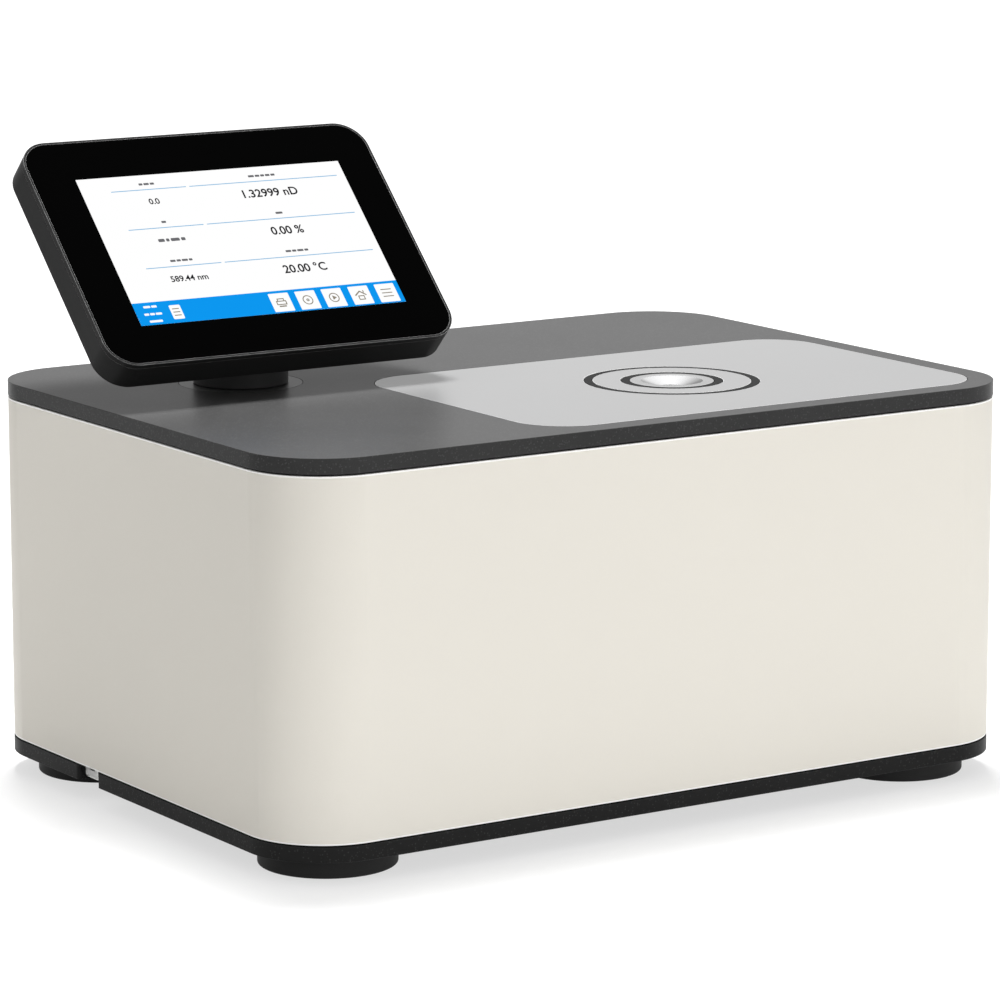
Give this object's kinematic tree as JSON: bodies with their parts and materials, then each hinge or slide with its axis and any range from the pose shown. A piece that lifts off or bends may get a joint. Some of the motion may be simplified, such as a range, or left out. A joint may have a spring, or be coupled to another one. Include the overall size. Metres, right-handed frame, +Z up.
{
  "type": "digital refractometer",
  "caption": "Bench-top digital refractometer: rounded box body with a flush round measuring stage and a touch display on a swivel and tilt stem.",
  "frame": {"origin": "on the bench surface under the middle of the body's plan; the display overhangs the body's left side by about 2 mm", "axes": "+X to the right along the body's long side, +Y to the rear, +Z up; the front faces -Y"},
  "size_m": [0.4322, 0.31, 0.3238],
  "materials": {
    "housing_paint": "fine satin cream paint",
    "top_plate": "cast, fine textured anthracite paint",
    "base_plate": "cast, charcoal powder coat",
    "rear_panel": "charcoal powder coat",
    "supply_case": "perforated sheet case",
    "sample_plate": "fine satin silver",
    "seal_ring": "matte dark grey",
    "polished_steel": "polished",
    "prism": "polished sapphire",
    "lens_glass": "polished",
    "filter_glass": "polished amber",
    "mirror": "front silvered",
    "rubber": "matte black",
    "steel": "zinc plated",
    "aluminium": "machined",
    "bronze": "turned",
    "ceramic": "white ceramic",
    "black_plastic": "fine black",
    "disc_plastic": "matte anthracite",
    "display_plastic": "fine satin dark grey",
    "cover_glass": "black printed, polished",
    "lcd_panel": "panel in a thin metal tray",
    "circuit_board": "green solder mask"
  },
  "bodies": {
    "instrument": {"base_plate": "base_plate", "foot_front_left": "rubber", "foot_front_right": "rubber", "foot_rear_left": "rubber", "foot_rear_right": "rubber", "foot_screw_front_left": "steel", "foot_screw_front_right": "steel", "foot_screw_rear_left": "steel", "foot_screw_rear_right": "steel", "corner_post_front_left": "aluminium", "corner_post_front_right": "aluminium", "corner_post_rear_left": "aluminium", "corner_post_rear_right": "aluminium", "housing_shell": "housing_paint", "top_plate": "top_plate", "sample_plate": "sample_plate", "outer_seal_ring": "seal_ring", "stage_ring": "sample_plate", "inner_seal_ring": "seal_ring", "prism_dish": "polished_steel", "measuring_prism": "prism", "prism_holder": "aluminium", "peltier_module": "ceramic", "heat_sink": "aluminium", "fan_frame": "black_plastic", "optical_bench": "aluminium", "led_module": "black_plastic", "interference_filter": "filter_glass", "condenser_lens": "lens_glass", "objective_mount": "aluminium", "objective_lens": "lens_glass", "folding_mirror": "mirror", "line_sensor": "ceramic", "sensor_board": "circuit_board", "main_board": "circuit_board", "power_supply": "supply_case", "rear_panel": "rear_panel", "power_inlet": "black_plastic", "switch_frame": "black_plastic", "network_socket": "steel", "rear_usb_socket_inner": "steel", "rear_usb_socket_outer": "steel", "side_usb_socket": "steel", "swivel_disc": "disc_plastic", "swivel_bush": "bronze"},
    "swivel": {"swivel_column": "black_plastic", "swivel_retainer": "steel", "tilt_pin": "steel", "friction_washer_left": "bronze", "friction_washer_right": "bronze"},
    "display": {"hinge_knuckle": "black_plastic", "display_rear_cover": "display_plastic", "display_frame": "display_plastic", "cover_glass": "cover_glass", "lcd_panel": "lcd_panel", "display_board": "circuit_board"},
    "switch": {"power_rocker": "black_plastic"},
    "fan": {"fan_rotor": "black_plastic"}
  },
  "joints": [
    {"name": "display_swivel", "type": "hinge", "parent": "instrument", "child": "swivel", "pos_m": [-0.1168, 0.06, 0.2023], "axis": [0, 0, 1], "range_deg": [-90, 90]},
    {"name": "display_tilt", "type": "hinge", "parent": "swivel", "child": "display", "pos_m": [-0.1168, 0.06, 0.2353], "axis": [1, 0, 0], "range_deg": [-30, 12]},
    {"name": "power_switch", "type": "hinge", "parent": "instrument", "child": "switch", "pos_m": [0.08104, 0.14772, 0.07], "axis": [1, 0, 0], "range_deg": [-18, 0]},
    {"name": "fan_spin", "type": "hinge", "parent": "instrument", "child": "fan", "pos_m": [0.0681, -0.1051, 0.1373], "axis": [0, 0, 1], "continuous": true}
  ]
}
